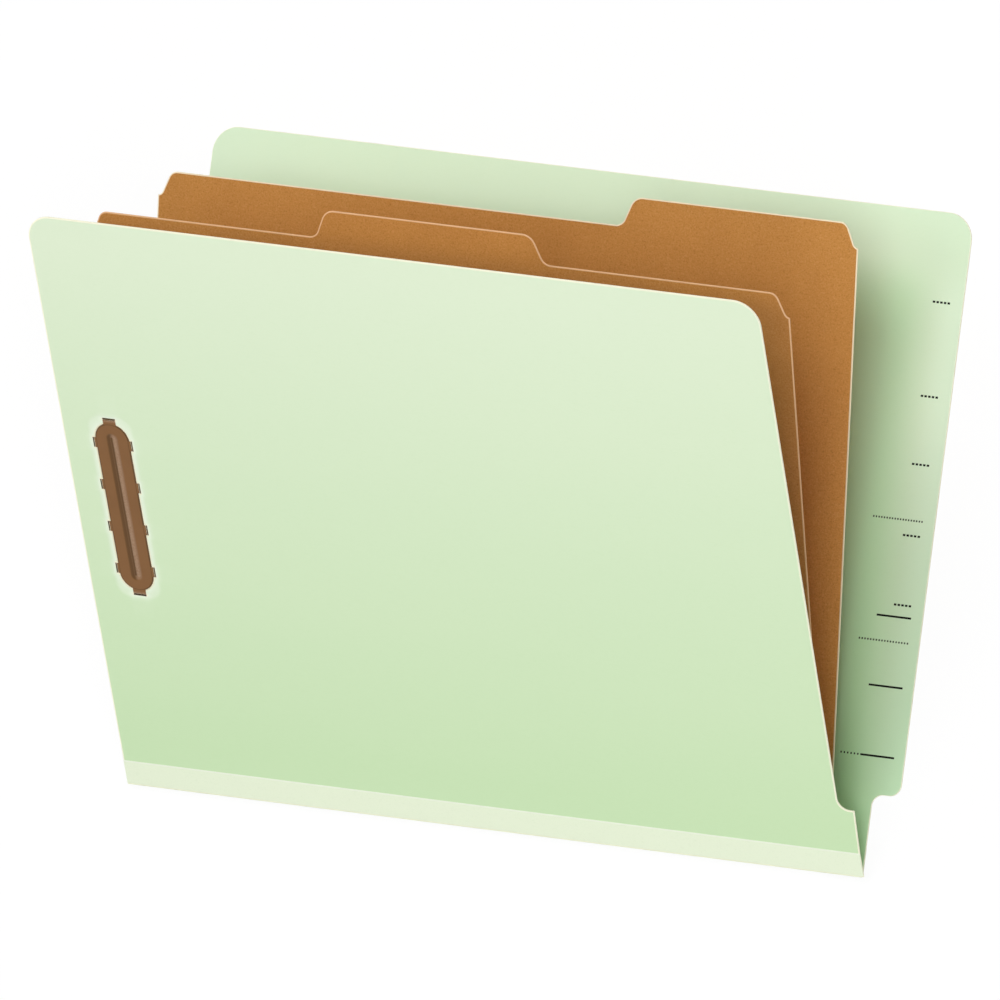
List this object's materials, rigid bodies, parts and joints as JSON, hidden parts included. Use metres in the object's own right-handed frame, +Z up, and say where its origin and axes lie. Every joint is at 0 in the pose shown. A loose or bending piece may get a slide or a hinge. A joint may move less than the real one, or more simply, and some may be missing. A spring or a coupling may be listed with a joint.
{
  "type": "classification folder",
  "caption": "Half-open pressboard folder with an end tab, tabbed kraft dividers, a taped pleated spine and bendable prong fasteners on each paper face.",
  "frame": {"origin": "middle of the back cover's outer face, on which the folder lies", "axes": "+X along the spine towards the end tab, +Y from the spine to the top edges, +Z up"},
  "size_m": [0.3112, 0.2424, 0.14],
  "materials": {
    "pressboard": "matte",
    "kraft": "matte",
    "tape": "matte",
    "plate": "satin",
    "steel": "satin"
  },
  "bodies": {
    "back_cover": {"back_cover": "pressboard", "back_tape": "tape", "back_plate": "plate", "back_strip": "steel", "rear_gusset": "tape"},
    "rear_binding": {"rear_divider_binding": "tape"},
    "rear_divider": {"rear_divider": "kraft", "rear_divider_face_strip": "steel", "rear_divider_rear_strip": "steel", "middle_gusset": "tape"},
    "middle_binding": {"front_divider_binding": "tape"},
    "front_divider": {"front_divider": "kraft", "front_divider_face_strip": "steel", "front_divider_rear_strip": "steel", "front_gusset": "tape"},
    "front_binding": {"front_cover_binding": "tape"},
    "front_cover": {"front_cover": "pressboard", "front_tape": "tape", "front_plate": "plate", "front_strip": "steel"},
    "back_prong_lower": {"back_prong_lower": "steel"},
    "back_prong_upper": {"back_prong_upper": "steel"},
    "rear_divider_rear_prong_lower": {"rear_divider_rear_prong_lower": "steel"},
    "rear_divider_rear_prong_upper": {"rear_divider_rear_prong_upper": "steel"},
    "rear_divider_face_prong_lower": {"rear_divider_face_prong_lower": "steel"},
    "rear_divider_face_prong_upper": {"rear_divider_face_prong_upper": "steel"},
    "front_divider_rear_prong_lower": {"front_divider_rear_prong_lower": "steel"},
    "front_divider_rear_prong_upper": {"front_divider_rear_prong_upper": "steel"},
    "front_divider_face_prong_lower": {"front_divider_face_prong_lower": "steel"},
    "front_divider_face_prong_upper": {"front_divider_face_prong_upper": "steel"},
    "front_prong_lower": {"front_prong_lower": "steel"},
    "front_prong_upper": {"front_prong_upper": "steel"}
  },
  "joints": [
    {"name": "rear_gusset_expand", "type": "slide", "parent": "back_cover", "child": "rear_binding", "axis": [0, 0, 1], "range_m": [0, 0.0169], "deforming": ["rear_gusset"]},
    {"name": "rear_gap_open", "type": "hinge", "parent": "rear_binding", "child": "rear_divider", "pos_m": [0, -0.12065, 0.00125], "axis": [1, 0, 0], "range_deg": [-8.7, 29.8]},
    {"name": "middle_gusset_expand", "type": "slide", "parent": "rear_divider", "child": "middle_binding", "axis": [0, -0.1771, 0.9842], "range_m": [0, 0.0169], "deforming": ["middle_gusset"]},
    {"name": "middle_gap_open", "type": "hinge", "parent": "middle_binding", "child": "front_divider", "pos_m": [0, -0.12081, 0.00213], "axis": [1, 0, 0], "range_deg": [-12.2, 36.3]},
    {"name": "front_gusset_expand", "type": "slide", "parent": "front_divider", "child": "front_binding", "axis": [0, -0.4051, 0.9143], "range_m": [0, 0.0169], "deforming": ["front_gusset"]},
    {"name": "front_gap_open", "type": "hinge", "parent": "front_binding", "child": "front_cover", "pos_m": [0, -0.12122, 0.00305], "axis": [1, 0, 0], "range_deg": [-9.1, 79.4]},
    {"name": "back_prong_lower_fold", "type": "hinge", "parent": "back_cover", "child": "back_prong_lower", "pos_m": [-0.136, -0.03575, 0.00121], "axis": [1, 0, 0], "range_deg": [0, 41]},
    {"name": "back_prong_upper_fold", "type": "hinge", "parent": "back_cover", "child": "back_prong_upper", "pos_m": [-0.136, 0.03425, 0.00121], "axis": [-1, 0, 0], "range_deg": [0, 90]},
    {"name": "rear_divider_rear_prong_lower_fold", "type": "hinge", "parent": "rear_divider", "child": "rear_divider_rear_prong_lower", "pos_m": [-0.136, -0.03695, 0.0155], "axis": [-1, 0, 0], "range_deg": [0, 41]},
    {"name": "rear_divider_rear_prong_upper_fold", "type": "hinge", "parent": "rear_divider", "child": "rear_divider_rear_prong_upper", "pos_m": [-0.136, 0.03194, 0.0279], "axis": [1, 0, 0], "range_deg": [0, 90]},
    {"name": "rear_divider_face_prong_lower_fold", "type": "hinge", "parent": "rear_divider", "child": "rear_divider_face_prong_lower", "pos_m": [-0.136, -0.03723, 0.01706], "axis": [1, 0, 0], "range_deg": [0, 57]},
    {"name": "rear_divider_face_prong_upper_fold", "type": "hinge", "parent": "rear_divider", "child": "rear_divider_face_prong_upper", "pos_m": [-0.136, 0.03166, 0.02945], "axis": [-1, 0, 0], "range_deg": [0, 90]},
    {"name": "front_divider_rear_prong_lower_fold", "type": "hinge", "parent": "front_divider", "child": "front_divider_rear_prong_lower", "pos_m": [-0.136, -0.04287, 0.0358], "axis": [-1, 0, 0], "range_deg": [0, 57]},
    {"name": "front_divider_rear_prong_upper_fold", "type": "hinge", "parent": "front_divider", "child": "front_divider_rear_prong_upper", "pos_m": [-0.136, 0.02113, 0.06416], "axis": [1, 0, 0], "range_deg": [0, 90]},
    {"name": "front_divider_face_prong_lower_fold", "type": "hinge", "parent": "front_divider", "child": "front_divider_face_prong_lower", "pos_m": [-0.136, -0.04351, 0.03725], "axis": [1, 0, 0], "range_deg": [0, 43]},
    {"name": "front_divider_face_prong_upper_fold", "type": "hinge", "parent": "front_divider", "child": "front_divider_face_prong_upper", "pos_m": [-0.136, 0.02049, 0.06561], "axis": [-1, 0, 0], "range_deg": [0, 90]},
    {"name": "front_prong_lower_fold", "type": "hinge", "parent": "front_cover", "child": "front_prong_lower", "pos_m": [-0.136, -0.05074, 0.0504], "axis": [-1, 0, 0], "range_deg": [0, 43]},
    {"name": "front_prong_upper_fold", "type": "hinge", "parent": "front_cover", "child": "front_prong_upper", "pos_m": [-0.136, 0.00695, 0.09005], "axis": [1, 0, 0], "range_deg": [0, 90]}
  ]
}
